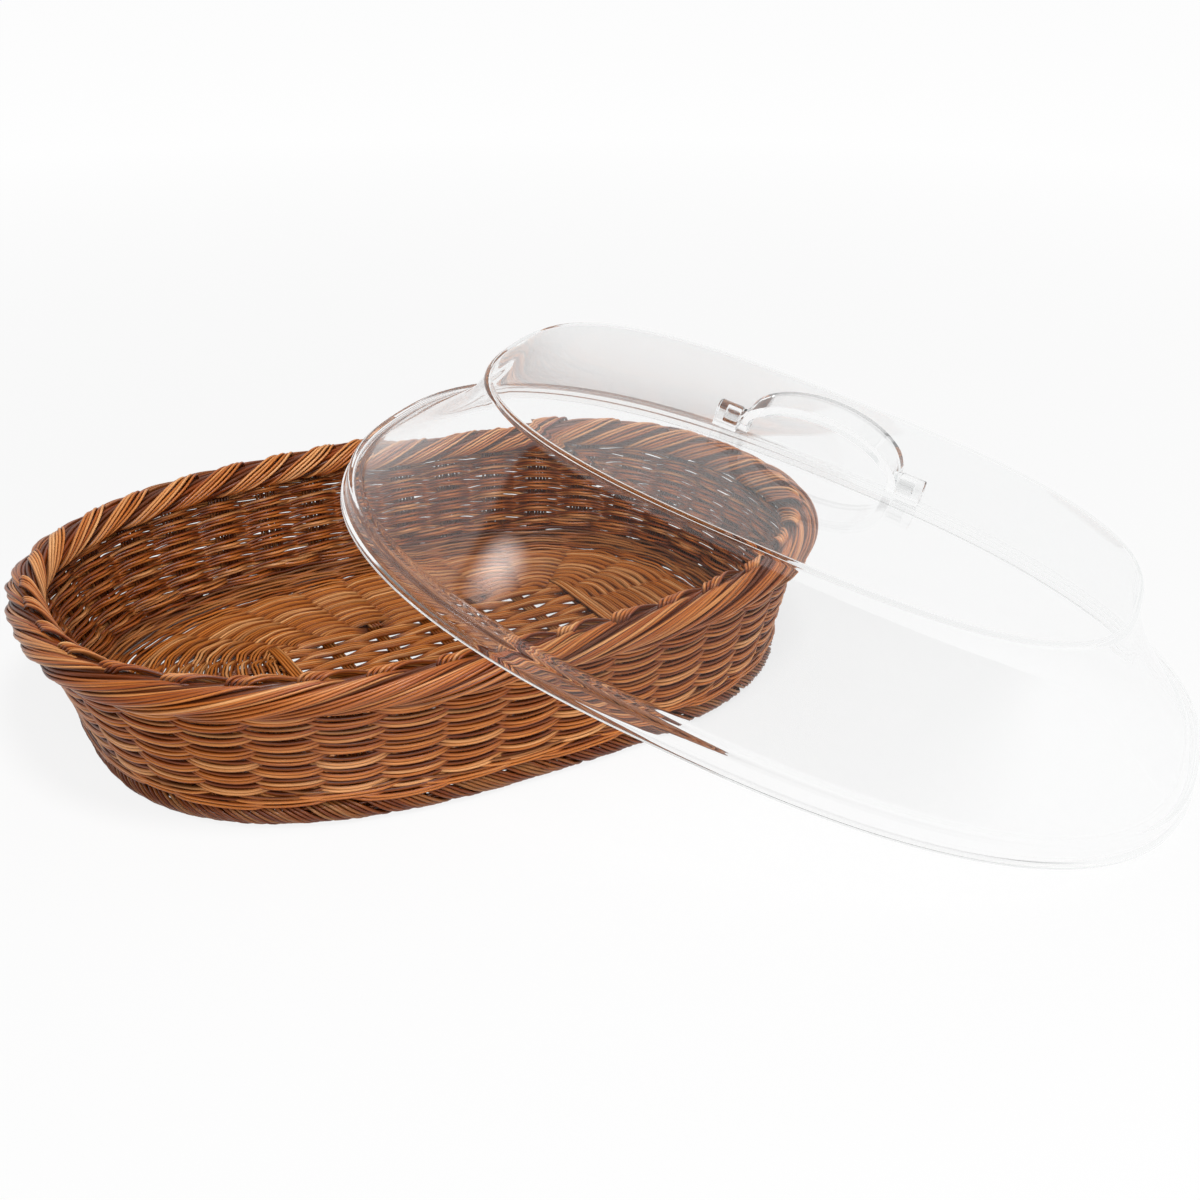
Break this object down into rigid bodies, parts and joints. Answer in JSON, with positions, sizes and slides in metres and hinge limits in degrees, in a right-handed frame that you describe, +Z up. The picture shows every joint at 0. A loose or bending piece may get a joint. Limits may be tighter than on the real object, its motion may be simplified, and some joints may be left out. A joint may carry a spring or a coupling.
{
  "type": "bread basket with lid",
  "caption": "Shallow oval woven basket with a rolled rim, and its clear flared dome lid with a swinging strap handle, lid leaning on the rim.",
  "frame": {"origin": "on the table, under the middle of the basket: the middle of the base mat's flat underside", "axes": "+X along the basket's length, +Y across it, +Z up; the lid leans at the basket's right front corner (+X, -Y)"},
  "size_m": [0.5007, 0.4526, 0.1672],
  "materials": {
    "wicker": "satin woven plastic strand",
    "clear_plastic": "clear, high gloss"
  },
  "bodies": {
    "basket": {"base_mat": "wicker", "base_stick_left": "wicker", "base_stick_right": "wicker", "foot_border": "wicker", "rim": "wicker", "stake_1": "wicker", "stake_2": "wicker", "stake_3": "wicker", "stake_4": "wicker", "stake_5": "wicker", "stake_6": "wicker", "stake_7": "wicker", "stake_8": "wicker", "stake_9": "wicker", "stake_10": "wicker", "stake_11": "wicker", "stake_12": "wicker", "stake_13": "wicker", "stake_14": "wicker", "stake_15": "wicker", "stake_16": "wicker", "stake_17": "wicker", "stake_18": "wicker", "stake_19": "wicker", "stake_20": "wicker", "stake_21": "wicker", "stake_22": "wicker", "stake_23": "wicker", "stake_24": "wicker", "stake_25": "wicker", "stake_26": "wicker", "stake_27": "wicker", "stake_28": "wicker", "stake_29": "wicker", "stake_30": "wicker", "stake_31": "wicker", "stake_32": "wicker", "stake_33": "wicker", "stake_34": "wicker", "stake_35": "wicker", "stake_36": "wicker", "stake_37": "wicker", "stake_38": "wicker", "weft_row_1": "wicker", "weft_row_2": "wicker", "weft_row_3": "wicker", "weft_row_4": "wicker", "weft_row_5": "wicker", "weft_row_6": "wicker", "weft_row_7": "wicker", "weft_row_8": "wicker"},
    "lid": {"lid_shell": "clear_plastic", "lug_left": "clear_plastic", "lug_right": "clear_plastic"},
    "handle": {"handle_bow": "clear_plastic"}
  },
  "joints": [
    {"name": "lid_lift", "type": "slide", "parent": "basket", "child": "lid", "axis": [0, 0, 1], "range_m": [0, 0.12]},
    {"name": "handle_swing", "type": "hinge", "parent": "lid", "child": "handle", "pos_m": [0.13238, -0.13462, 0.13377], "axis": [0.5838, -0.7663, -0.2683], "range_deg": [-60, 60]}
  ]
}
